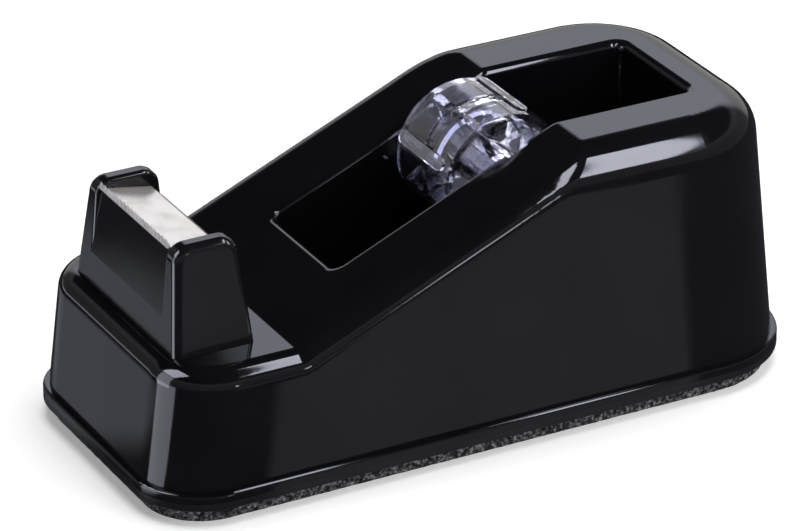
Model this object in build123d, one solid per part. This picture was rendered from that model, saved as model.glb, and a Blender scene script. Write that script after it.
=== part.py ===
from build123d import *
import os
from math import atan, cos, hypot, radians, sin, tan

# Weighted desktop tape dispenser, millimetres.
# +X runs from the cutter end to the tall end, +Y to the far side, +Z up.
# The origin lies on the ground plane, in the middle of the bottom rim's outline.

# ---------------------------------------------------------------- housing outline
rim_length = 135.0
rim_width = 62.2
front_corner_radius = 13.4       # bottom rim, cutter end
rear_corner_radius = 19.9        # bottom rim, tall end
pad_thickness = 3.0
pad_inset = 1.9                  # rim edge to pad edge
plate_thickness = 1.5            # the plate's edge is the lower band of the rim
rim_height = 1.7                 # the shell's own band of the rim
rim_step = 1.2                   # rim edge to the foot of the wall
rim_edge_round = 0.6
plate_edge_round = 0.4

# ---------------------------------------------------------------- housing shape
front_deck_z = 28.9
rear_deck_z = 54.5
front_deck_length = 28.3         # rim's front end to the crease at the slope's foot
rear_deck_length = 47.3          # bend at the slope's top to the rim's rear end
front_wall_lean = 7.0            # degrees from upright
rear_wall_lean = 6.3
side_wall_draft = 0.4
high_edge_radius = 7.5           # round the high deck
low_edge_radius = 4.0            # round the low deck and the slope
crease_radius = 1.5
shell_wall = 2.2

# ---------------------------------------------------------------- tape well
well_front_setback = 43.7        # rim's front end to the well
well_rear_setback = 18.1         # well to the rim's rear end
well_width = 25.0
well_floor_z = 10.0
well_wall = 2.0
well_corner_radius = 1.8
well_floor_round = 12.0          # big rounds at the two ends of the floor
well_lip_radius = 1.5

# ---------------------------------------------------------------- core and spindle
core_setback = 54.9              # core's axis to the rim's rear end
core_depth = 11.3                # high deck down to the core's axis
core_radius = 12.6               # fits a one inch tape core
core_width = 18.2
core_wall = 1.4
core_rib_count = 4
core_rib_width = 2.6
core_rib_height = 0.6
core_rib_end_gap = 1.5           # rib end to the core's near edge
core_far_rib_gap = 0.5           # rib end to the core's far edge
core_rib_angle = 70.0            # first rib, degrees above +X
core_band_width = 3.0            # shallow band round the middle
core_band_depth = 0.3
core_band_offset = -0.8          # band centre from the middle plane
spoke_thickness = 1.4
spoke_recess = 1.2               # spokes lie behind the ring's edge
mid_flange_height = 2.2          # ring inside each half at the joint
mid_flange_thickness = 1.2
boss_radius = 4.6
spindle_radius = 2.5
spindle_end_round = 0.5
bore_clearance = 0.06            # radial, core turns on the spindle
boss_end_gap = 1.5               # core boss to the well wall
joint_gap = 0.02                 # between the two core halves
slot_depth = 2.0                 # into each well wall
slot_clearance = 0.08            # spindle to slot, each side
spindle_end_gap = 0.3
slot_backing = 1.8               # wall left behind a slot
slot_pad_margin = 3.5            # slot pad beyond the slot, each side

# ---------------------------------------------------------------- cutter head
head_setback = 7.3               # rim's front end to the foot of the head's front face
head_length = 16.0               # at the foot
head_width = 41.4                # at the foot
head_height = 19.85
head_front_lean = 5.5            # degrees
head_rear_lean = 5.5
head_side_draft = 8.5
head_gap = 0.05                  # seam under the head
cheek_inner_y = 14.1
cheek_nose_round = 3.2           # top corners in side view
cheek_edge_round = 1.6           # outer edges
cheek_inner_round = 0.8          # upper edges beside the blade
head_wall = 2.0
hollow_rise = 3.0                # hollow's roof above the foot of the panel
panel_foot_rise = 6.05           # head's foot to the foot of the recessed panel under the blade
leg_width = 7.0
leg_thickness = 1.8
leg_y = 17.0                     # centre line to leg centre
leg_length = 6.0                 # below the head's foot
hook_reach = 1.0
hook_height = 2.0
hook_gap = 0.15
leg_slot_clearance = 0.15

# ---------------------------------------------------------------- blade
blade_setback = 3.0              # head's foot to the foot of the toothed strip
blade_drop = 1.5                 # cheek tops down to the foot of the toothed strip
blade_depth = 9.6                # tape rest, toothed strip to rear bend
blade_tilt = 10.0                # rest falls towards the rear, degrees
blade_thickness = 0.6
blade_side_gap = 0.15
tooth_count = 18
tooth_strip_height = 1.9
tooth_strip_angle = 70.0         # toothed strip above the horizontal
tooth_height = 1.35
rear_flange_length = 3.6
rear_flange_fall = 45.0
tab_length = 5.0
tab_reach = 0.9                  # into each cheek
tab_clearance = 0.1
blade_seat_gap = 0.02

# ---------------------------------------------------------------- base and weights
plate_lip_height = 1.5
plate_lip_width = 1.5
plate_lip_clearance = 0.45
screw_pad_radius = 4.5
screw_pad_height = 1.6
boss_outer_radius = 3.6
screw_shank_radius = 1.45
screw_head_radius = 2.8
screw_head_height = 1.6
screw_length = 12.0
screw_clearance = 0.05
screw_head_clearance = 0.15
screw_drive_radius = 1.1
screw_drive_depth = 0.8
screw_drive_width = 0.6
screw_front_setback = 22.5       # rim's front end to the front screws
screw_rear_setback = 22.0
screw_side_setback = 8.8
front_ballast_length = 33.0
front_ballast_height = 15.0
ballast_bar_length = 60.0
ballast_bar_height = 20.0
ballast_gap = 0.8                # weights to the well, the screw pads and the plate's lip
ballast_edge_round = 1.0
rib_thickness = 1.4              # ribs between the well and the tall end wall
rib_spacing = 15.0
rib_depth = 30.5                 # high deck down to the ribs' feet

# ---------------------------------------------------------------- places that follow
front_end_x = -rim_length / 2
rear_end_x = rim_length / 2
plate_z = pad_thickness
shell_foot_z = plate_z + plate_thickness
wall_foot_z = shell_foot_z + rim_height
crease_x = front_end_x + front_deck_length
bend_x = rear_end_x - rear_deck_length
slope = (rear_deck_z - front_deck_z) / (bend_x - crease_x)
slope_stretch = hypot(1, slope)
well_front_x = front_end_x + well_front_setback
well_rear_x = rear_end_x - well_rear_setback
well_mid_x = (well_front_x + well_rear_x) / 2
well_length = well_rear_x - well_front_x
core_x = rear_end_x - core_setback
core_z = rear_deck_z - core_depth
head_front_x = front_end_x + head_setback
head_foot_z = front_deck_z + head_gap
head_top_z = head_foot_z + head_height
panel_foot_z = head_foot_z + panel_foot_rise
blade_front_x = head_front_x + blade_setback
blade_front_z = head_top_z - blade_drop
lip_inset = rim_step + shell_wall + plate_lip_clearance
lip_inner_y = rim_width / 2 - lip_inset - plate_lip_width
screw_y = rim_width / 2 - screw_side_setback
screw_front_x = front_end_x + screw_front_setback
screw_rear_x = rear_end_x - screw_rear_setback
screw_points = [(x, side * screw_y) for x in (screw_front_x, screw_rear_x) for side in (-1, 1)]

# Edges and faces are picked by where they lie, to within this distance,
# or by how much of their direction runs along an axis.
pick_gap = 0.01
facing_share = 0.8


def slope_x(z, inset=0.0):
    """X of the slope's line at height z, for the surface a given wall below the outside."""
    return crease_x + (z - front_deck_z + inset * slope_stretch) / slope


def rim_outline(inset):
    """Bottom outline with two corner radii, drawn a given distance inside the rim's edge."""
    half_length = rim_length / 2 - inset
    half_width = rim_width / 2 - inset
    plan = Rectangle(2 * half_length, 2 * half_width)
    front = plan.vertices().filter_by(lambda v: v.X < 0)
    plan = fillet(front, front_corner_radius - inset)
    rear = plan.vertices().filter_by(lambda v: v.X > half_length - pick_gap)
    return fillet(rear, rear_corner_radius - inset)


# ---------------------------------------------------------------- housing shell
def tall_profile(inset):
    """Side view of the housing before its low end is cut away, a given wall inside the outside."""
    foot = rim_length / 2 - rim_step
    front_foot = -foot + inset / cos(radians(front_wall_lean))
    rear_foot = foot - inset / cos(radians(rear_wall_lean))
    low = shell_foot_z
    high = rear_deck_z - inset

    def front_x(z):
        return front_foot + (z - wall_foot_z) * tan(radians(front_wall_lean))

    def rear_x(z):
        return rear_foot - (z - wall_foot_z) * tan(radians(rear_wall_lean))

    corners = [(front_x(low), low), (front_x(high), high), (rear_x(high), high), (rear_x(low), low)]
    return make_face(Plane.XZ * Polyline(*corners, close=True))


def tall_block(inset):
    """The housing with its high deck run on to the front: leaning walls and four round corners."""
    run = extrude(tall_profile(inset), amount=rim_width, both=True)
    width = rim_width - 2 * rim_step - 2 * inset
    plan = Pos(0, 0, shell_foot_z) * Rectangle(2 * rim_length, width)
    block = run & extrude(plan, amount=rear_deck_z, taper=side_wall_draft)
    front = block.edges().group_by(Axis.Z)[1].filter_by(lambda e: (e @ 0.5).X < 0)
    block = fillet(front, front_corner_radius - rim_step - inset)
    rear = block.edges().group_by(Axis.Z)[1].filter_by(lambda e: (e @ 0.5).X > 0)
    block = fillet(rear, rear_corner_radius - rim_step - inset)
    return fillet(block.faces().sort_by(Axis.Z)[-1].edges(), high_edge_radius - inset)


def moulded_form(inset):
    """The housing's smooth body, or with an inset the hollow inside it."""
    low = front_deck_z - inset
    high = rear_deck_z + rim_width
    foot_x = slope_x(low, inset)
    corners = [(-rim_length, low), (foot_x, low), (slope_x(high, inset), high), (-rim_length, high)]
    above = extrude(make_face(Plane.XZ * Polyline(*corners, close=True)), amount=rim_width, both=True)
    form = tall_block(inset) - above

    def at_crease(edge):
        middle = edge @ 0.5
        return abs(middle.Y) < pick_gap and abs(middle.X - foot_x) < crease_radius + inset

    form = fillet(form.edges().filter_by(at_crease), crease_radius + inset)
    crease_sag = (crease_radius + inset) * (1 / cos(atan(slope) / 2) - 1)

    def on_low_rim(edge):
        middle = edge @ 0.5
        cut_z = max(low, low + slope * (middle.X - foot_x))
        return abs(middle.Z - cut_z) < crease_sag + pick_gap and not at_crease(edge)

    return fillet(form.edges().filter_by(on_low_rim), low_edge_radius - inset)


def well_pocket():
    """The space of the tape well, from its rounded floor to above the decks."""
    top = rear_deck_z + well_lip_radius
    side = Plane.XZ * Pos(well_mid_x, (well_floor_z + top) / 2) * Rectangle(well_length, top - well_floor_z)
    low = side.vertices().filter_by(lambda v: v.Z < well_floor_z + pick_gap)
    pocket = extrude(fillet(low, well_floor_round), amount=well_width / 2, both=True)
    uprights = pocket.edges().filter_by(Axis.Z)
    return fillet(uprights, well_corner_radius)


def spindle_slots():
    """Upright grooves in both well walls, round at the foot, for the two ends of the spindle."""
    radius = spindle_radius + slot_clearance
    face = Plane.XZ * Pos(core_x, core_z) * Circle(radius)
    rise = rear_deck_z + well_lip_radius - core_z
    face += Plane.XZ * Pos(core_x, core_z + rise / 2) * Rectangle(2 * radius, rise)
    return extrude(face, amount=well_width / 2 + slot_depth, both=True)


def shell_well_walls(outside):
    """Walls of the well, thicker behind the two spindle slots, and ribs to the tall end."""
    foot = well_floor_z - well_wall
    height = rear_deck_z - foot
    walls = Pos(well_mid_x, 0, foot + height / 2) * Box(
        well_length + 2 * well_wall, well_width + 2 * well_wall, height
    )
    lower = walls.edges().filter_by(Axis.Y).filter_by(lambda e: (e @ 0.5).Z < foot + pick_gap)
    walls = fillet(lower, well_floor_round + well_wall)
    pad_length = 2 * (spindle_radius + slot_clearance + slot_pad_margin)
    pad_width = well_width + 2 * (slot_depth + slot_backing)
    pad_foot = core_z - pad_length / 2
    pads = Pos(core_x, 0, (pad_foot + rear_deck_z) / 2) * Box(pad_length, pad_width, rear_deck_z - pad_foot)
    rib_length = rim_length / 2 - well_rear_x
    ribs = [
        Pos(well_rear_x + rib_length / 2, side * rib_spacing / 2, rear_deck_z - rib_depth / 2)
        * Box(rib_length, rib_thickness, rib_depth)
        for side in (-1, 1)
    ]
    return (walls + pads + ribs) & outside


def shell_bosses(outside):
    """Four round columns that take the base screws."""
    foot = shell_foot_z + screw_pad_height
    column = Cylinder(boss_outer_radius, rear_deck_z, align=(Align.CENTER, Align.CENTER, Align.MIN))
    columns = [Pos(x, y, foot) * column for x, y in screw_points]
    return [column & outside for column in columns]


def screw_pilots():
    """Blind holes up the four columns."""
    hole = Cylinder(
        screw_shank_radius + screw_clearance,
        screw_length,
        align=(Align.CENTER, Align.CENTER, Align.MIN),
    )
    return [Pos(x, y, shell_foot_z) * hole for x, y in screw_points]


def leg_slots():
    """Openings in the low deck for the snap legs, with room inwards for the legs to bend."""
    inner = leg_y - leg_thickness / 2 - hook_reach - leg_slot_clearance
    outer = leg_y + leg_thickness / 2 + leg_slot_clearance
    opening = Box(leg_width + 2 * leg_slot_clearance, outer - inner, 2 * leg_length)
    x = head_front_x + head_length / 2
    return [Pos(x, side * (inner + outer) / 2, front_deck_z) * opening for side in (-1, 1)]


def well_mouth_edges(shell):
    """Edges where the well opens in the slope and the high deck."""

    def at_mouth(edge):
        middle = edge @ 0.5
        over_well = abs(middle.X - well_mid_x) < well_length / 2 + pick_gap
        between_walls = abs(middle.Y) < well_width / 2 + pick_gap
        on_top = middle.Z > surface_z(middle.X) - well_wall / 2
        return over_well and between_walls and on_top

    return [edge for edge in shell.edges() if at_mouth(edge)]


def make_shell():
    outside = moulded_form(0.0)
    rim = extrude(Pos(0, 0, shell_foot_z) * rim_outline(0.0), amount=rim_height)
    rim_top = rim.faces().sort_by(Axis.Z)[-1].edges()
    rim = fillet(rim_top, rim_edge_round)
    shell = outside + rim
    shell -= moulded_form(shell_wall)
    shell += shell_well_walls(outside)
    shell += shell_bosses(outside)
    shell -= well_pocket()
    shell = fillet(well_mouth_edges(shell), well_lip_radius)
    shell -= spindle_slots()
    shell -= screw_pilots()
    shell -= leg_slots()
    return shell


def surface_z(x):
    """Height of the decks and the slope above a point on the centre line."""
    return min(max(front_deck_z, front_deck_z + slope * (x - crease_x)), rear_deck_z)


# ---------------------------------------------------------------- core and spindle
def disc(radius, y_from, y_to):
    """Solid round about the Y axis between two distances from the middle plane."""
    body = extrude(Plane.XZ * Circle(radius), amount=(y_to - y_from) / 2, both=True)
    return Pos(0, (y_from + y_to) / 2, 0) * body


def ring(outer, inner, y_from, y_to):
    return disc(outer, y_from, y_to) - disc(inner, y_from, y_to)


def core_turns(first_angle):
    """Turns about the core's axis, in equal steps from a first angle above +X."""
    return [Rot(0, -first_angle - turn * 360 / core_rib_count, 0) for turn in range(core_rib_count)]


def core_ribs(y_from, y_to, rise):
    """Raised ribs with round ends along the outside of the core."""
    bed = core_radius - core_wall / 2
    slot = Plane.YZ * SlotOverall(y_to - y_from, core_rib_width)
    bar = Pos(bed, (y_from + y_to) / 2, 0) * extrude(slot, amount=core_wall / 2 + rise)
    return [turn * bar for turn in core_turns(core_rib_angle)]


def core_spokes(y_from, y_to):
    """Flat webs from the boss to the ring, midway between the ribs."""
    reach = core_radius - core_wall / 2
    web = Pos(reach / 2, (y_from + y_to) / 2, 0) * Box(reach, y_to - y_from, spoke_thickness)
    return [turn * web for turn in core_turns(core_rib_angle + 180 / core_rib_count)]


def make_core_half(side):
    """One clear half of the core: ring, joint flange, spokes, long boss and its share of the ribs."""
    half = core_width / 2
    inner = core_radius - core_wall
    joint = joint_gap / 2

    def reach(distance_from, distance_to):
        return sorted((side * distance_from, side * distance_to))

    body = ring(core_radius, inner, *reach(joint, half))
    body += ring(inner + core_wall / 2, inner - mid_flange_height, *reach(joint, joint + mid_flange_thickness))
    body += core_spokes(*reach(joint, half - spoke_recess))
    middle = core_band_offset
    band = ring(
        core_radius + core_rib_height,
        core_radius - core_band_depth,
        middle - core_band_width / 2,
        middle + core_band_width / 2,
    )
    body -= band
    whole_ribs = core_ribs(-half + core_rib_end_gap, half - core_far_rib_gap, core_rib_height)
    across = 2 * (core_radius + core_rib_height)
    share = Pos(0, side * (joint + half) / 2, 0) * Box(across, half - joint, across)
    body += [rib & share for rib in whole_ribs]
    body += disc(boss_radius, *reach(joint, well_width / 2 - boss_end_gap))
    body -= disc(spindle_radius + bore_clearance, -well_width, well_width)
    return Pos(core_x, 0, core_z) * body


def make_spindle():
    """Pin that the core turns on; its ends lie in the slots of the well walls."""
    half_length = well_width / 2 + slot_depth - spindle_end_gap
    pin = Pos(core_x, 0, core_z) * disc(spindle_radius, -half_length, half_length)
    return chamfer(pin.edges().filter_by(GeomType.CIRCLE), spindle_end_round)


# ---------------------------------------------------------------- cutter head and blade
def blade_line(below):
    """Side view of the blade's upper surface, or of a line a given distance below it."""
    tilt = radians(blade_tilt)
    fall = radians(rear_flange_fall)
    rise = radians(tooth_strip_angle)
    front = (blade_front_x, blade_front_z)
    rear = (blade_front_x + blade_depth * cos(tilt), blade_front_z - blade_depth * sin(tilt))
    tip = (front[0] - tooth_strip_height * cos(rise), front[1] + tooth_strip_height * sin(rise))
    end = (rear[0] + rear_flange_length * cos(fall), rear[1] - rear_flange_length * sin(fall))
    line = Polyline(tip, front, rear, end)
    return line if below == 0 else offset(line, amount=below, side=Side.RIGHT, closed=False)


def blade_section():
    """Side view of the bent sheet."""
    upper = blade_line(0)
    lower = blade_line(blade_thickness)
    first = Line(upper @ 0, lower @ 0)
    last = Line(upper @ 1, lower @ 1)
    return make_face([*upper.edges(), *lower.edges(), first, last])


def make_blade():
    """Bent steel strip: a row of teeth turned up, a tape rest, a rear flange and four side tabs."""
    half_width = cheek_inner_y - blade_side_gap
    sheet = extrude(Plane.XZ * blade_section(), amount=half_width, both=True)
    upper = blade_line(0)
    tip_z = (upper @ 0).Y
    pitch = 2 * half_width / tooth_count
    notch = make_face(
        Plane.YZ
        * Polyline((-pitch / 2, tip_z), (0, tip_z - tooth_height), (pitch / 2, tip_z), (0, tip_z + pitch), close=True)
    )
    reach = tooth_strip_height + blade_thickness
    cutter = Pos(blade_front_x, 0, 0) * extrude(notch, amount=reach, both=True)
    edges = [-half_width + turn * pitch for turn in range(tooth_count + 1)]
    sheet -= [Pos(0, y, 0) * cutter for y in edges]
    return sheet + blade_tabs(0.0)


def blade_tabs(clearance):
    """Tabs of the tape rest in the cheeks, or with a clearance the slots that take them."""
    tilt = radians(blade_tilt)
    middle = blade_depth / 2
    depth = blade_thickness / 2
    x = blade_front_x + middle * cos(tilt) - depth * sin(tilt)
    z = blade_front_z - middle * sin(tilt) - depth * cos(tilt)
    root = cheek_inner_y - blade_side_gap - blade_thickness
    reach = cheek_inner_y + tab_reach + clearance - root
    tab = Box(tab_length + 2 * clearance, reach, blade_thickness + 2 * clearance)
    return [Pos(x, side * (root + reach / 2), z) * Rot(0, blade_tilt, 0) * tab for side in (-1, 1)]


def head_front(z):
    """X of the head's leaning front face at height z."""
    return head_front_x + (z - head_foot_z) * tan(radians(head_front_lean))


def head_rear(z):
    """X of the head's leaning rear face at height z."""
    return head_front_x + head_length - (z - head_foot_z) * tan(radians(head_rear_lean))


def make_cheek(side):
    """One cheek beside the blade: leaning faces, round nose and soft edges."""
    outline = Polyline(
        (head_front_x, head_foot_z),
        (head_front(head_top_z), head_top_z),
        (head_rear(head_top_z), head_top_z),
        (head_rear(head_foot_z), head_foot_z),
        close=True,
    )
    profile = make_face(outline)
    profile = fillet(profile.vertices().filter_by(lambda v: v.Y > head_top_z - pick_gap), cheek_nose_round)
    block = extrude(Plane.XZ * profile, amount=head_width, both=True)
    drop = (head_top_z - head_foot_z) * tan(radians(head_side_draft))
    half = head_width / 2
    end = make_face(
        Polyline(
            (side * cheek_inner_y, head_foot_z),
            (side * half, head_foot_z),
            (side * (half - drop), head_top_z),
            (side * cheek_inner_y, head_top_z),
            close=True,
        )
    )
    block &= extrude(Plane.YZ * end, amount=rim_length, both=True)

    def rim_of(outer):
        walls = [face for face in block.faces() if abs(face.normal_at().Y) > facing_share]
        walls = sorted(walls, key=lambda face: abs(face.center().Y))
        wall = walls[-1] if outer else walls[0]
        return [edge for edge in wall.edges() if (edge @ 0.5).Z > head_foot_z + pick_gap]

    block = fillet(rim_of(True), cheek_edge_round)
    return fillet(rim_of(False), cheek_inner_round)


def blade_bed():
    """Points of the bed under the blade, from the panel's top to the flange's end."""
    lower = offset(
        blade_line(0),
        amount=blade_thickness + blade_seat_gap,
        side=Side.RIGHT,
        kind=Kind.INTERSECTION,
        closed=False,
    )
    return [(v.X, v.Y) for v in lower.vertices().sort_by(Axis.X)[1:]]


def head_platform():
    """Bridge between the cheeks: flush low front, recessed panel that leans back, bed for the blade."""
    bed = blade_bed()
    outline = Polyline(
        (head_front_x, head_foot_z),
        (head_front(panel_foot_z), panel_foot_z),
        *bed,
        (head_rear(bed[-1][1]), bed[-1][1]),
        (head_rear(head_foot_z), head_foot_z),
        close=True,
    )
    return extrude(Plane.XZ * make_face(outline), amount=cheek_inner_y + cheek_inner_round, both=True)


def head_hollow():
    """Hollow under the blade's bed, open at the foot."""
    height = panel_foot_z - head_foot_z + hollow_rise
    length = head_length - 2 * head_wall
    block = Box(
        length,
        2 * (cheek_inner_y - head_wall),
        height,
        align=(Align.CENTER, Align.CENTER, Align.MIN),
    )
    return Pos(head_front_x + head_length / 2, 0, head_foot_z) * block


def snap_leg(side):
    """Leg through the deck with a hook that catches under it."""
    x = head_front_x + head_length / 2
    y = side * leg_y
    leg = Pos(x, y, head_foot_z - leg_length / 2) * Box(leg_width, leg_thickness, leg_length)
    catch_z = front_deck_z - shell_wall - hook_gap
    start = leg_y + leg_thickness / 2
    wedge = make_face(
        Plane.YZ
        * Polyline(
            (side * start, catch_z),
            (side * (start + hook_reach), catch_z),
            (side * start, catch_z - hook_height),
            close=True,
        )
    )
    return leg + Pos(x, 0, 0) * extrude(wedge, amount=leg_width / 2, both=True)


def make_cutter_head():
    head = head_platform() + [make_cheek(side) for side in (-1, 1)]
    head -= head_hollow()
    head -= blade_tabs(tab_clearance)
    return head + [snap_leg(side) for side in (-1, 1)]


# ---------------------------------------------------------------- base, weights and pad
def make_base_plate():
    """Closing plate: its edge shows under the rim; a lip locates it inside the shell."""
    plate = extrude(Pos(0, 0, plate_z) * rim_outline(0.0), amount=plate_thickness)
    plate = fillet(plate.faces().sort_by(Axis.Z)[0].edges(), plate_edge_round)
    lip_plan = rim_outline(lip_inset) - rim_outline(lip_inset + plate_lip_width)
    plate += extrude(Pos(0, 0, shell_foot_z) * lip_plan, amount=plate_lip_height)
    pad = Cylinder(screw_pad_radius, screw_pad_height, align=(Align.CENTER, Align.CENTER, Align.MIN))
    plate += [Pos(x, y, shell_foot_z) * pad for x, y in screw_points]
    return plate - [Pos(x, y, 0) * screw_form(screw_clearance, screw_head_clearance) for x, y in screw_points]


def screw_form(shank_grow, head_grow):
    """Countersunk screw standing point up, head flush with the plate's underside."""
    shank = Cylinder(
        screw_shank_radius + shank_grow,
        screw_length,
        align=(Align.CENTER, Align.CENTER, Align.MIN),
    )
    head = Cone(
        screw_head_radius + head_grow,
        screw_shank_radius + shank_grow,
        screw_head_height + head_grow,
        align=(Align.CENTER, Align.CENTER, Align.MIN),
    )
    return Pos(0, 0, plate_z) * (shank + head)


def make_screws():
    """Four equal screws as one group of separate solids."""
    slot = Box(2 * screw_drive_radius, screw_drive_width, 2 * screw_drive_depth)
    screw = screw_form(0.0, 0.0) - Pos(0, 0, plate_z) * (slot + Rot(0, 0, 90) * slot)
    return Compound([Pos(x, y, 0) * screw for x, y in screw_points])


def weight(length, width, height):
    """Cast block with soft upright edges and top edges, standing on the plate."""
    block = Box(length, width, height, align=(Align.CENTER, Align.CENTER, Align.MIN))
    edges = block.edges().filter_by(lambda e: (e @ 0.5).Z > pick_gap)
    return Pos(0, 0, shell_foot_z) * fillet(edges, ballast_edge_round)


def make_front_ballast():
    """Weight under the low deck, between the pads of the front screws."""
    rear_x = well_front_x - well_wall - ballast_gap
    width = 2 * (screw_y - screw_pad_radius - ballast_gap)
    block = weight(front_ballast_length, width, front_ballast_height)
    return Pos(rear_x - front_ballast_length / 2, 0, 0) * block


def make_ballast_bar(side):
    """Weight beside the well, from the pad of the rear screw forwards."""
    inner_y = well_width / 2 + well_wall + ballast_gap
    outer_y = lip_inner_y - ballast_gap
    rear_x = screw_rear_x - screw_pad_radius - ballast_gap
    block = weight(ballast_bar_length, outer_y - inner_y, ballast_bar_height)
    return Pos(rear_x - ballast_bar_length / 2, side * (inner_y + outer_y) / 2, 0) * block


def make_pad():
    return extrude(rim_outline(pad_inset), amount=pad_thickness)


# ---------------------------------------------------------------- write the parts
pieces = {
    "housing_shell": make_shell(),
    "cutter_head": make_cutter_head(),
    "serrated_blade": make_blade(),
    "core_half_far": make_core_half(1),
    "core_half_near": make_core_half(-1),
    "core_spindle": make_spindle(),
    "base_plate": make_base_plate(),
    "front_ballast": make_front_ballast(),
    "ballast_bar_far": make_ballast_bar(1),
    "ballast_bar_near": make_ballast_bar(-1),
    "base_screws": make_screws(),
    "anti_slip_pad": make_pad(),
}

os.makedirs("parts", exist_ok=True)
for name, piece in pieces.items():
    export_step(piece, f"parts/{name}.step")
    print(name, "solids", len(piece.solids()), "volume", round(piece.volume, 1))
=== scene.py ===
import bpy
from math import cos, pi, radians, sin, tan
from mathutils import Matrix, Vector, noise


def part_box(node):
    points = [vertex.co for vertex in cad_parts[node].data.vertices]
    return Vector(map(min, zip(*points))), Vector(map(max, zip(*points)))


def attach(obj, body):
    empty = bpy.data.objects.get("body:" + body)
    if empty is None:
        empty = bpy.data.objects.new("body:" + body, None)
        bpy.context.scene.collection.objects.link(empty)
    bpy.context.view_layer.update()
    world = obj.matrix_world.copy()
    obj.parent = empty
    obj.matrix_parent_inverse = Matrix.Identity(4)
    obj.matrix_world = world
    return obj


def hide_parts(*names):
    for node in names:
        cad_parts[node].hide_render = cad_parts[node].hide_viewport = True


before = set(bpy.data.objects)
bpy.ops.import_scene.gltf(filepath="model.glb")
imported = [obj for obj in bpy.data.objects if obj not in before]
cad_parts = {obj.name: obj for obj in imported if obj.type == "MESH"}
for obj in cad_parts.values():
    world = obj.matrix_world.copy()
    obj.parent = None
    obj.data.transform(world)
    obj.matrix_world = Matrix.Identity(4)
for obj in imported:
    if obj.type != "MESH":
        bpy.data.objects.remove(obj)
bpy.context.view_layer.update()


# ---------------------------------------------------------------- camera
# The dispenser is seen from its near side and its cutter end, a little from above, through a long lens.
# The numbers come from fitting a camera to the outline of the real thing.

view_azimuth = radians(-28.36)
view_elevation = radians(26.324)
view_distance = 0.88556
view_target = Vector((-0.004598, -0.000002, 0.025588))
film_width = 36.0
focal_length = 217.98
nearest_seen = 0.01
furthest_seen = 20.0

towards_camera = Vector((
    sin(view_azimuth) * cos(view_elevation),
    -cos(view_azimuth) * cos(view_elevation),
    sin(view_elevation),
))
camera_data = bpy.data.cameras.new("camera")
camera_data.sensor_width = film_width
camera_data.lens = focal_length
camera_data.clip_start = nearest_seen
camera_data.clip_end = furthest_seen
camera = bpy.data.objects.new("camera", camera_data)
camera.location = view_target + view_distance * towards_camera
camera.rotation_mode = "QUATERNION"
camera.rotation_quaternion = (-towards_camera).to_track_quat("-Z", "Y")
bpy.context.scene.collection.objects.link(camera)
bpy.context.scene.camera = camera


# ---------------------------------------------------------------- white table, room and lamps
# A white table, a big soft lamp overhead and a softbox to the right of the camera. In polished surfaces the
# table shows painted pools of light, a glow drawn on it that only reflections see, and the room shows as one
# pale wall under a dark ceiling. Five cards that show nowhere but in gloss draw the bright strips along the
# dispenser's edges.

table_half = 3.0
table_corners = [
    (-table_half, -table_half, 0),
    (table_half, -table_half, 0),
    (table_half, table_half, 0),
    (-table_half, table_half, 0),
]
table_colour = (0.93, 0.93, 0.93, 1.0)
table_glow = 0.30

# Each painted pool of light, a glow on the table that only reflections see, has four edges a way, in metres:
# where its light begins, is full, is still full, and has ended.
near_pool_way = radians(60)
near_pool_across = (-0.0575, -0.0548, 0.0192, 0.0218)
near_pool_y = (-0.145, -0.135, -0.034, -0.031)
near_pool_light = 0.25
outer_pool_x = (-0.030, -0.010, 0.080, 0.100)
outer_pool_y = (-0.300, -0.260, -0.150, -0.130)
far_pool_x = (-2.500, -2.000, -0.250, -0.200)
far_pool_y = (0.150, 0.250, 2.000, 2.500)
far_pool_light = 1.3
front_pool_x = (-0.150, -0.105, -0.075, -0.065)
front_pool_y = (0.000, 0.020, 0.090, 0.130)
front_pool_light = 0.38
table_mirror_light = 0.04

# The last painted pool is a fan that opens from the foot of the near front corner; its spread is width over
# length.
corner_at = (-0.064, -0.021)
corner_way = radians(-77)
corner_reach = (0.010, 0.014, 0.300, 0.400)
corner_spread = (-0.40, -0.34, 0.34, 0.40)
corner_light = 2.2

# The room's light by height, each height being the sine of the angle above the horizon.
wall_heights = (
    (0.00, 0.80),
    (0.34, 0.95),
    (0.40, 1.25),
    (0.43, 1.40),
    (0.48, 1.40),
    (0.54, 0.09),
    (0.62, 0.04),
)
ceiling_light = 0.04
curve_share = 0.5                    # the curve holds half the light, because it can't rise past one
wall_way = radians(32)
wall_edge = (0.74, 0.87)
wall_elsewhere = 0.20
wall_tint = (1.0, 1.0, 1.0, 1.0)
mirror_tint = (0.93, 0.96, 1.10, 1.0)
wall_tint_edge = (0.34, 0.40)

# Each lamp: where it stands, what it faces, its width and height, and its power in watts.
studio_lamps = {
    "overhead_lamp": ((0.10, 0.10, 1.20), (0.0, 0.0, 0.0), (0.900, 0.900), 12.0),
    "side_softbox": ((0.281, -0.449, 0.281), (0.0, 0.0, 0.03), (0.585, 0.600), 2.5),
}
# Each card: where it stands, what it faces, its width and height, and how bright its face is.
gloss_cards = {
    "rear_card": ((0.0955, -0.107, 0.1425), (0.0955, -0.028, 0.0515), (0.027, 0.118), 11.0),
    "front_card": ((0.0185, -0.0735, 0.143), (0.0185, -0.028, 0.028), (0.024, 0.106), 9.5),
    "slope_card": ((0.115, -0.580, 0.110), (0.0, -0.030, 0.040), (0.050, 0.060), 6.5),
    "corner_card_high": ((-0.128, 0.004, 0.108), (-0.061, -0.022, 0.028), (0.055, 0.060), 7.0),
    "corner_card_low": ((-0.150, 0.008, 0.040), (-0.061, -0.022, 0.030), (0.045, 0.080), 2.8),
}


def new_material(name):
    """An empty node material with its output, to be filled in."""
    material = bpy.data.materials.new(name)
    material.use_nodes = True
    nodes = material.node_tree.nodes
    nodes.clear()
    return material, nodes, material.node_tree.links, nodes.new("ShaderNodeOutputMaterial")


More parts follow.
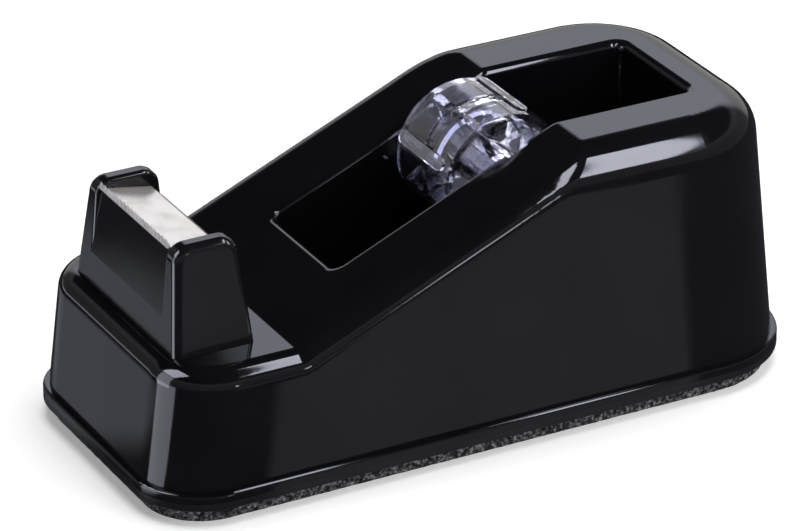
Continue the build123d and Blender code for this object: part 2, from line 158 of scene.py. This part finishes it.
def calculate(nodes, links, operation, *values):
    """One step of arithmetic on sockets or numbers; gives its result socket."""
    step = nodes.new("ShaderNodeMath")
    step.operation = operation
    for socket, value in zip(step.inputs, values):
        if isinstance(value, (int, float)):
            socket.default_value = value
        else:
            links.new(value, socket)
    return step.outputs[0]


def soft_step(nodes, links, value, start, end):
    """A smooth rise from nothing at the start to one at the end."""
    ramp = nodes.new("ShaderNodeMapRange")
    ramp.interpolation_type = "SMOOTHSTEP"
    ramp.inputs["From Min"].default_value = start
    ramp.inputs["From Max"].default_value = end
    links.new(value, ramp.inputs["Value"])
    return ramp.outputs["Result"]


def soft_window(nodes, links, value, edges):
    """One inside the two middle edges, falling smoothly to nothing at the outer ones."""
    rise = soft_step(nodes, links, value, edges[0], edges[1])
    fall = calculate(nodes, links, "SUBTRACT", 1.0, soft_step(nodes, links, value, edges[2], edges[3]))
    return calculate(nodes, links, "MULTIPLY", rise, fall)


def along_way(nodes, links, place, way, start=(0.0, 0.0)):
    """How far a place lies from a start along a compass way, 0 being +Y and 90 degrees +X."""
    from_start_x = calculate(nodes, links, "SUBTRACT", place.outputs["X"], start[0])
    from_start_y = calculate(nodes, links, "SUBTRACT", place.outputs["Y"], start[1])
    east = calculate(nodes, links, "MULTIPLY", from_start_x, sin(way))
    north = calculate(nodes, links, "MULTIPLY", from_start_y, cos(way))
    return calculate(nodes, links, "ADD", east, north)


def pool(nodes, links, first, first_edges, second, second_edges, light):
    """Light inside two crossed windows."""
    inside = calculate(
        nodes, links, "MULTIPLY",
        soft_window(nodes, links, first, first_edges),
        soft_window(nodes, links, second, second_edges),
    )
    return calculate(nodes, links, "MULTIPLY", inside, light)


def two_tones(nodes, links, share, first, second):
    """A colour between two tones by a share from 0 to 1."""
    blend = nodes.new("ShaderNodeMix")
    blend.data_type = "RGBA"
    blend.inputs["A"].default_value = first
    blend.inputs["B"].default_value = second
    links.new(share, blend.inputs["Factor"])
    return blend.outputs["Result"]


def mesh_object(name, points, faces):
    """A mesh piece at the origin from points in metres."""
    mesh = bpy.data.meshes.new(name)
    mesh.from_pydata([tuple(p) for p in points], [], faces)
    mesh.update()
    piece = bpy.data.objects.new(name, mesh)
    bpy.context.scene.collection.objects.link(piece)
    return piece


table_material, nodes, links, out = new_material("white_table")
paper = nodes.new("ShaderNodeBsdfDiffuse")
paper.inputs["Color"].default_value = table_colour
glow = nodes.new("ShaderNodeEmission")
glow.inputs["Strength"].default_value = table_glow
lit_paper = nodes.new("ShaderNodeAddShader")
links.new(paper.outputs[0], lit_paper.inputs[0])
links.new(glow.outputs[0], lit_paper.inputs[1])
place = nodes.new("ShaderNodeSeparateXYZ")
links.new(nodes.new("ShaderNodeNewGeometry").outputs["Position"], place.inputs[0])
out_from_corner = along_way(nodes, links, place, corner_way, corner_at)
aside = along_way(nodes, links, place, corner_way + pi / 2, corner_at)
spread = calculate(nodes, links, "DIVIDE", aside, out_from_corner)
near_across = along_way(nodes, links, place, near_pool_way)
mirror_light = table_mirror_light
for patch in (
    (near_across, near_pool_across, place.outputs["Y"], near_pool_y, near_pool_light),
    (place.outputs["X"], outer_pool_x, place.outputs["Y"], outer_pool_y, near_pool_light),
    (place.outputs["X"], far_pool_x, place.outputs["Y"], far_pool_y, far_pool_light),
    (place.outputs["X"], front_pool_x, place.outputs["Y"], front_pool_y, front_pool_light),
    (out_from_corner, corner_reach, spread, corner_spread, corner_light),
):
    mirror_light = calculate(nodes, links, "ADD", pool(nodes, links, *patch), mirror_light)
# Reflections see the table as this painted glow of pools instead of the lit paper.
painted_gloss_glow = nodes.new("ShaderNodeEmission")
painted_gloss_glow.inputs["Color"].default_value = mirror_tint
links.new(mirror_light, painted_gloss_glow.inputs["Strength"])
by_ray = nodes.new("ShaderNodeMixShader")
links.new(nodes.new("ShaderNodeLightPath").outputs["Is Glossy Ray"], by_ray.inputs["Fac"])
links.new(lit_paper.outputs[0], by_ray.inputs[1])
links.new(painted_gloss_glow.outputs[0], by_ray.inputs[2])
links.new(by_ray.outputs[0], out.inputs["Surface"])
table = mesh_object("table", table_corners, [(0, 1, 2, 3)])
table.data.materials.append(table_material)

world = bpy.data.worlds.new("room")
bpy.context.scene.world = world
world.use_nodes = True
nodes, links = world.node_tree.nodes, world.node_tree.links
nodes.clear()
out = nodes.new("ShaderNodeOutputWorld")
room = nodes.new("ShaderNodeBackground")
heading = nodes.new("ShaderNodeSeparateXYZ")
links.new(nodes.new("ShaderNodeTexCoord").outputs["Generated"], heading.inputs[0])
bands = nodes.new("ShaderNodeFloatCurve")
curve = bands.mapping.curves[0]
curve.points[0].location = (0.0, wall_heights[0][1] * curve_share)
curve.points[1].location = (1.0, ceiling_light * curve_share)
for level, light in wall_heights[1:]:
    curve.points.new(level, light * curve_share)
bands.mapping.update()
links.new(heading.outputs["Z"], bands.inputs["Value"])
towards_wall = soft_step(nodes, links, along_way(nodes, links, heading, wall_way), *wall_edge)
wall_share = calculate(nodes, links, "MAXIMUM", towards_wall, wall_elsewhere)
light_by_height = calculate(nodes, links, "MULTIPLY", bands.outputs[0], 1 / curve_share)
wall_light = calculate(nodes, links, "MULTIPLY", light_by_height, wall_share)
through_clear = nodes.new("ShaderNodeLightPath").outputs["Is Transmission Ray"]
links.new(calculate(nodes, links, "MAXIMUM", wall_light, through_clear), room.inputs["Strength"])
high_up = soft_step(nodes, links, heading.outputs["Z"], *wall_tint_edge)
links.new(two_tones(nodes, links, high_up, wall_tint, mirror_tint), room.inputs["Color"])
links.new(room.outputs[0], out.inputs["Surface"])


def soft_lamp(name, stand, aim, size, power, lights_surfaces=True, shows_in_gloss=True):
    """A rectangular lamp at its stand, facing a point; power in watts."""
    data = bpy.data.lights.new(name, "AREA")
    data.shape = "RECTANGLE"
    data.size, data.size_y = size
    data.energy = power
    lamp = bpy.data.objects.new(name, data)
    lamp.location = stand
    lamp.rotation_mode = "QUATERNION"
    lamp.rotation_quaternion = (Vector(aim) - Vector(stand)).to_track_quat("-Z", "Y")
    lamp.visible_camera = False
    lamp.visible_diffuse = lights_surfaces
    lamp.visible_glossy = shows_in_gloss
    bpy.context.scene.collection.objects.link(lamp)
    return lamp


for name, (stand, aim, size, power) in studio_lamps.items():
    soft_lamp(name, stand, aim, size, power, shows_in_gloss=False)
for name, (stand, aim, size, brightness) in gloss_cards.items():
    card = soft_lamp(name, stand, aim, size, brightness * pi * size[0] * size[1], lights_surfaces=False)
    card.data.color = mirror_tint[:3]


# ---------------------------------------------------------------- foam pad
# A sheet of dark closed-cell foam, three millimetres thick, cut out with a knife and glued under the plate.
# Its cut edge is open cells: pale and dark specks, a little uneven.

pad_low, pad_high = (Vector(corner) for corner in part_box("anti_slip_pad"))
pad_thickness = pad_high.z - pad_low.z
pad_front_radius = 0.0115
pad_rear_radius = 0.0180
pad_step = 0.0011
pad_levels = (0.0, 0.06, 0.2, 0.4, 0.6, 0.8, 0.94, 1.0)
pad_edge_round = 0.00035
cell_size = 0.0012
cell_depth = 0.00022
foam_dark = (0.010, 0.010, 0.012, 1.0)
foam_pale = (0.24, 0.24, 0.25, 1.0)
foam_speck_scale = 1500.0
foam_speck_power = 2.2
foam_relief = 0.0004
grain_floor = 0.35
grain_top = 0.68
grain_octaves = 3.0


def rounded_outline(low, high, front_radius, rear_radius, step):
    """Points round a rectangle whose front and rear corners have two radii, each with its way out."""
    corners = [
        (high.x - rear_radius, high.y - rear_radius, rear_radius, 0),
        (low.x + front_radius, high.y - front_radius, front_radius, 90),
        (low.x + front_radius, low.y + front_radius, front_radius, 180),
        (high.x - rear_radius, low.y + rear_radius, rear_radius, 270),
    ]
    arcs = []
    for x, y, radius, start in corners:
        count = round(radius * pi / 2 / step)
        arc = []
        for index in range(count + 1):
            turn = radians(start + 90 * index / count)
            spot = Vector((x + radius * cos(turn), y + radius * sin(turn)))
            arc.append((spot, Vector((cos(turn), sin(turn)))))
        arcs.append(arc)
    outline = []
    for arc, following in zip(arcs, arcs[1:] + arcs[:1]):
        outline += arc
        start, outward = arc[-1]
        end = following[0][0]
        count = round((end - start).length / step)
        outline += [(start.lerp(end, index / count), outward) for index in range(1, count)]
    return outline


pad_outline = rounded_outline(pad_low, pad_high, pad_front_radius, pad_rear_radius, pad_step)
points = []
for share in pad_levels:
    z = pad_low.z + share * pad_thickness
    near_face = min(share, 1 - share) * pad_thickness
    tuck = pad_edge_round * max(0.0, 1 - near_face / pad_edge_round)
    for spot, outward in pad_outline:
        lump = noise.noise(Vector((spot.x, spot.y, z)) / cell_size)
        pit = cell_depth * (1 + lump) / 2
        pulled = spot - outward * (tuck + pit)
        points.append((pulled.x, pulled.y, z))
ring = len(pad_outline)
last_ring = (len(pad_levels) - 1) * ring
faces = [tuple(range(ring))[::-1], tuple(range(last_ring, last_ring + ring))]
for level in range(len(pad_levels) - 1):
    for index in range(ring):
        a = level * ring + index
        b = level * ring + (index + 1) % ring
        faces.append((a, b, b + ring, a + ring))
foam_pad = mesh_object("foam_pad", points, faces)


def speckle(nodes, links, scale, low=0.0, high=1.0):
    """Noise in the piece's own space, stretched between two levels."""
    space = nodes.new("ShaderNodeTexCoord")
    grain = nodes.new("ShaderNodeTexNoise")
    grain.inputs["Scale"].default_value = scale
    grain.inputs["Detail"].default_value = grain_octaves
    links.new(space.outputs["Object"], grain.inputs["Vector"])
    level = nodes.new("ShaderNodeMapRange")
    level.inputs["From Min"].default_value = grain_floor
    level.inputs["From Max"].default_value = grain_top
    level.inputs["To Min"].default_value = low
    level.inputs["To Max"].default_value = high
    links.new(grain.outputs["Fac"], level.inputs["Value"])
    return level.outputs["Result"]


def relief(nodes, links, height, depth):
    """A bump from a height pattern, its depth in metres; gives its normal."""
    bump = nodes.new("ShaderNodeBump")
    bump.inputs["Strength"].default_value = 1.0
    bump.inputs["Distance"].default_value = depth
    links.new(height, bump.inputs["Height"])
    return bump.outputs["Normal"]


foam, nodes, links, out = new_material("closed_cell_foam")
shader = nodes.new("ShaderNodeBsdfPrincipled")
cells = nodes.new("ShaderNodeTexVoronoi")
cells.inputs["Scale"].default_value = foam_speck_scale
links.new(nodes.new("ShaderNodeTexCoord").outputs["Object"], cells.inputs["Vector"])
specks = speckle(nodes, links, foam_speck_scale)
speck_share = calculate(nodes, links, "POWER", specks, foam_speck_power)
links.new(two_tones(nodes, links, speck_share, foam_dark, foam_pale), shader.inputs["Base Color"])
shader.inputs["Roughness"].default_value = 0.85
shader.inputs["Specular IOR Level"].default_value = 0.3
links.new(relief(nodes, links, cells.outputs["Distance"], foam_relief), shader.inputs["Normal"])
links.new(shader.outputs[0], out.inputs["Surface"])
foam_pad.data.materials.append(foam)
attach(foam_pad, "housing")
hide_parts("anti_slip_pad")


# ---------------------------------------------------------------- base plate
# The plate that closes the housing from below, moulded in black with a fine satin finish and held by screws.
# Its edge is the lower of the two bands round the foot.

plate_colour = (0.012, 0.012, 0.014, 1.0)
plate_roughness = (0.28, 0.40)
plate_grain_scale = 2500.0
plate_grain_depth = 0.00001
plate_mirror_level = 0.3
moulding_shade_scale = 60.0
moulding_shade_drop = 0.7
moulding_gloss_scale = 140.0


def paint_node(node, material):
    """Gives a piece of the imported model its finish."""
    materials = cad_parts[node].data.materials
    materials.clear()
    materials.append(material)


def moulded_black(name, colour, roughness, grain_scale, grain_depth, mirror_level):
    """Black moulding: a deep colour under a skin whose roughness and waviness vary a little."""
    material, nodes, links, out = new_material(name)
    shader = nodes.new("ShaderNodeBsdfPrincipled")
    shade = speckle(nodes, links, moulding_shade_scale)
    darker = tuple(moulding_shade_drop * part for part in colour[:3]) + (1.0,)
    links.new(two_tones(nodes, links, shade, darker, colour), shader.inputs["Base Color"])
    links.new(speckle(nodes, links, moulding_gloss_scale, *roughness), shader.inputs["Roughness"])
    shader.inputs["Specular IOR Level"].default_value = mirror_level
    grain = speckle(nodes, links, grain_scale)
    links.new(relief(nodes, links, grain, grain_depth), shader.inputs["Normal"])
    links.new(shader.outputs[0], out.inputs["Surface"])
    return material


satin_plate = moulded_black(
    "satin_plate", plate_colour, plate_roughness, plate_grain_scale, plate_grain_depth, plate_mirror_level
)
paint_node("base_plate", satin_plate)


# ---------------------------------------------------------------- weights
# Three blocks of cast iron, one under the low deck and one each side of the well, dropped in before the
# plate goes on. They are left as they came out of the sand: dull grey and pitted.

iron_dark = (0.10, 0.10, 0.10, 1.0)
iron_pale = (0.19, 0.18, 0.17, 1.0)
iron_crust_scale = 350.0
iron_gloss_scale = 500.0
iron_roughness = (0.5, 0.8)
iron_pit_scale = 900.0
iron_pit_depth = 0.0003

cast_iron, nodes, links, out = new_material("cast_iron")
shader = nodes.new("ShaderNodeBsdfPrincipled")
crust = speckle(nodes, links, iron_crust_scale)
links.new(two_tones(nodes, links, crust, iron_dark, iron_pale), shader.inputs["Base Color"])
shader.inputs["Metallic"].default_value = 0.7
links.new(speckle(nodes, links, iron_gloss_scale, *iron_roughness), shader.inputs["Roughness"])
pits = speckle(nodes, links, iron_pit_scale)
links.new(relief(nodes, links, pits, iron_pit_depth), shader.inputs["Normal"])
links.new(shader.outputs[0], out.inputs["Surface"])
for node in ("front_ballast", "ballast_bar_far", "ballast_bar_near"):
    paint_node(node, cast_iron)


# ---------------------------------------------------------------- housing shell
# One moulding of black styrene, polished in the mould, with the open tape well and the upper band of the
# foot. It stands on the plate and is screwed to it from below.

shell_colour = (0.0055, 0.0055, 0.0070, 1.0)
shell_roughness = (0.055, 0.095)
polished_grain_scale = 700.0
polished_grain_depth = 0.0000012
polished_mirror_level = 0.5

polished_shell = moulded_black(
    "polished_shell", shell_colour, shell_roughness,
    polished_grain_scale, polished_grain_depth, polished_mirror_level,
)
paint_node("housing_shell", polished_shell)


# ---------------------------------------------------------------- base screws
# Four countersunk steel screws, zinc plated, driven up through the plate into the housing's columns.
# The plating is a little cloudy, cool in some places and warm in others.

zinc_cool = (0.50, 0.51, 0.53, 1.0)
zinc_warm = (0.62, 0.61, 0.58, 1.0)
zinc_cloud_scale = 900.0
zinc_gloss_scale = 600.0
zinc_roughness = (0.25, 0.42)

zinc, nodes, links, out = new_material("zinc_plate")
shader = nodes.new("ShaderNodeBsdfPrincipled")
cloud = speckle(nodes, links, zinc_cloud_scale)
links.new(two_tones(nodes, links, cloud, zinc_cool, zinc_warm), shader.inputs["Base Color"])
shader.inputs["Metallic"].default_value = 1.0
links.new(speckle(nodes, links, zinc_gloss_scale, *zinc_roughness), shader.inputs["Roughness"])
links.new(shader.outputs[0], out.inputs["Surface"])
paint_node("base_screws", zinc)


# ---------------------------------------------------------------- cutter head
# A second black moulding that snaps into the low deck: two cheeks, a recessed panel and the bed of the blade.
# It is a touch greyer than the shell.

head_colour = (0.0070, 0.0070, 0.0085, 1.0)
head_roughness = (0.07, 0.12)

polished_head = moulded_black(
    "polished_head", head_colour, head_roughness,
    polished_grain_scale, polished_grain_depth, polished_mirror_level,
)
paint_node("cutter_head", polished_head)


# ---------------------------------------------------------------- blade
# A strip of bright steel, pressed: a row of ground teeth turned up at the front, a flat tape rest that falls
# a little to the rear, a bent rear flange, and a tab at each side that sits in the cheek.

blade_low, blade_high = (Vector(corner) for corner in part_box("serrated_blade"))
cheek_inner = 0.0141
cheek_gap = 0.00015
blade_half = cheek_inner - cheek_gap
tooth_count = 18
foot_x = -0.0572
foot_z = 0.0473
strip_angle = radians(70)
strip_height = 0.0019
tooth_depth = 0.00135
rest_depth = 0.0096
rest_tilt = radians(10)
flange_length = 0.0036
flange_fall = radians(45)
steel_thickness = 0.0006
tip_thickness = 0.00012
bend_radius = 0.0007
bend_steps = 5
tab_length = 0.005
tab_skin = 0.00001                   # the tab's faces stay this far inside the sheet's
steel_bright = (0.90, 0.875, 0.86, 1.0)
steel_handled = (0.70, 0.645, 0.60, 1.0)
steel_smudge_scale = 170.0
steel_smudge_power = 1.8
steel_gloss_scale = 260.0
steel_roughness = (0.17, 0.28)
steel_rolling_scale = (4000.0, 120.0, 4000.0)
steel_rolling_depth = 0.000001


def bent_line(corners, radius, steps):
    """Side view of a bent strip: points through its corners, each bend an arc."""
    line = [corners[0]]
    for before, corner, after in zip(corners, corners[1:], corners[2:]):
        back = (before - corner).normalized()
        on = (after - corner).normalized()
        half_turn = back.angle(on) / 2
        reach = radius / tan(half_turn)
        centre = corner + (back + on).normalized() * radius / sin(half_turn)
        start = (corner + back * reach - centre).normalized()
        end = (corner + on * reach - centre).normalized()
        for index in range(steps + 1):
            line.append(centre + radius * start.slerp(end, index / steps))
    line.append(corners[-1])
    return line


def steps_below(line):
    """For each point of a side view, the unit step to the sheet's underside."""
    steps = []
    for index in range(len(line)):
        run = line[min(index + 1, len(line) - 1)] - line[max(index - 1, 0)]
        run.normalize()
        steps.append(Vector((run.y, -run.x)))
    return steps


foot = Vector((foot_x, foot_z))
tip = foot + strip_height * Vector((-cos(strip_angle), sin(strip_angle)))
bend = foot + rest_depth * Vector((cos(rest_tilt), -sin(rest_tilt)))
heel = bend + flange_length * Vector((cos(flange_fall), -sin(flange_fall)))
upper = bent_line([tip, foot, bend, heel], bend_radius, bend_steps)
below = steps_below(upper)
valley_share = tooth_depth / sin(strip_angle) / strip_height
columns = 2 * tooth_count
points = []
for column in range(columns + 1):
    y = -blade_half + 2 * blade_half * column / columns
    at_valley = column % 2 == 0
    for index, (spot, step) in enumerate(zip(upper, below)):
        thickness = steel_thickness
        if index == 0 and at_valley:
            spot = spot.lerp(foot, valley_share)
        elif index == 0:
            thickness = tip_thickness
        under = spot + step * thickness
        points.append((spot.x, y, spot.y))
        points.append((under.x, y, under.y))
row = 2 * len(upper)
faces = []
for column in range(columns):
    a = column * row
    b = a + row
    for index in range(0, row - 2, 2):
        faces.append((a + index, a + index + 2, b + index + 2, b + index))
        faces.append((a + index + 1, b + index + 1, b + index + 3, a + index + 3))
    faces.append((a, b, b + 1, a + 1))
    faces.append((a + row - 2, a + row - 1, b + row - 1, b + row - 2))
last = columns * row
for index in range(0, row - 2, 2):
    faces.append((index, index + 1, index + 3, index + 2))
    faces.append((last + index, last + index + 2, last + index + 3, last + index + 1))
along = Vector((cos(rest_tilt), -sin(rest_tilt)))
down = Vector((-sin(rest_tilt), -cos(rest_tilt)))
middle = foot + along * rest_depth / 2
for side in (-1, 1):
    root = side * (blade_half - steel_thickness)
    end = blade_high.y if side > 0 else blade_low.y
    first = len(points)
    for y in (root, end):
        for run in (-tab_length / 2, tab_length / 2):
            for sink in (tab_skin, steel_thickness - tab_skin):
                spot = middle + along * run + down * sink
                points.append((spot.x, y, spot.y))
    for quad in ((0, 1, 3, 2), (4, 6, 7, 5), (0, 4, 5, 1), (2, 3, 7, 6), (0, 2, 6, 4), (1, 5, 7, 3)):
        faces.append(tuple(first + corner for corner in (quad if side > 0 else quad[::-1])))
blade = mesh_object("cutting_blade", points, faces)

steel, nodes, links, out = new_material("rolled_steel")
shader = nodes.new("ShaderNodeBsdfPrincipled")
stretch = nodes.new("ShaderNodeMapping")
stretch.inputs["Scale"].default_value = steel_rolling_scale
links.new(nodes.new("ShaderNodeTexCoord").outputs["Object"], stretch.inputs["Vector"])
rolling = nodes.new("ShaderNodeTexNoise")
rolling.inputs["Scale"].default_value = 1.0
links.new(stretch.outputs[0], rolling.inputs["Vector"])
handling = speckle(nodes, links, steel_smudge_scale)
smudge = calculate(nodes, links, "POWER", handling, steel_smudge_power)
links.new(two_tones(nodes, links, smudge, steel_bright, steel_handled), shader.inputs["Base Color"])
shader.inputs["Metallic"].default_value = 0.75
links.new(speckle(nodes, links, steel_gloss_scale, *steel_roughness), shader.inputs["Roughness"])
links.new(relief(nodes, links, rolling.outputs["Fac"], steel_rolling_depth), shader.inputs["Normal"])
links.new(shader.outputs[0], out.inputs["Surface"])
blade.data.materials.append(steel)
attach(blade, "housing")
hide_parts("serrated_blade")


# ---------------------------------------------------------------- spindle and core
# The pin and the two halves of the core are moulded in clear styrene with a trace of violet.
# The halves meet round the pin and turn on it, and the pin's ends drop into the two slots of the well.

core_tint = (0.90, 0.90, 1.0, 1.0)
core_haze = (0.42, 0.42, 0.48, 1.0)
core_haze_share = 0.004
core_gloss_scale = 240.0
core_roughness = (0.005, 0.03)
core_flow_scale = 300.0
core_flow_depth = 0.00002


def clear_styrene(name, tint, haze, haze_share):
    """Clear moulding: glass-like, with a faint haze and flow lines in its skin."""
    material, nodes, links, out = new_material(name)
    shader = nodes.new("ShaderNodeBsdfPrincipled")
    shader.inputs["Base Color"].default_value = tint
    shader.inputs["Transmission Weight"].default_value = 1.0
    shader.inputs["IOR"].default_value = 1.5
    links.new(speckle(nodes, links, core_gloss_scale, *core_roughness), shader.inputs["Roughness"])
    flow = speckle(nodes, links, core_flow_scale)
    links.new(relief(nodes, links, flow, core_flow_depth), shader.inputs["Normal"])
    cloud = nodes.new("ShaderNodeBsdfDiffuse")
    cloud.inputs["Color"].default_value = haze
    through = nodes.new("ShaderNodeBsdfTranslucent")
    through.inputs["Color"].default_value = haze
    body = nodes.new("ShaderNodeAddShader")
    links.new(cloud.outputs[0], body.inputs[0])
    links.new(through.outputs[0], body.inputs[1])
    mixed = nodes.new("ShaderNodeMixShader")
    mixed.inputs["Fac"].default_value = haze_share
    links.new(shader.outputs[0], mixed.inputs[1])
    links.new(body.outputs[0], mixed.inputs[2])
    links.new(mixed.outputs[0], out.inputs["Surface"])
    return material


clear_core = clear_styrene("clear_core", core_tint, core_haze, core_haze_share)
clear_spindle = clear_styrene("clear_spindle", core_tint, core_haze, core_haze_share)
paint_node("core_spindle", clear_spindle)
paint_node("core_half_far", clear_core)
paint_node("core_half_near", clear_core)


# ---------------------------------------------------------------- close
# Colours are shown through the standard view transform, without a film curve.

bpy.context.scene.view_settings.view_transform = "Standard"
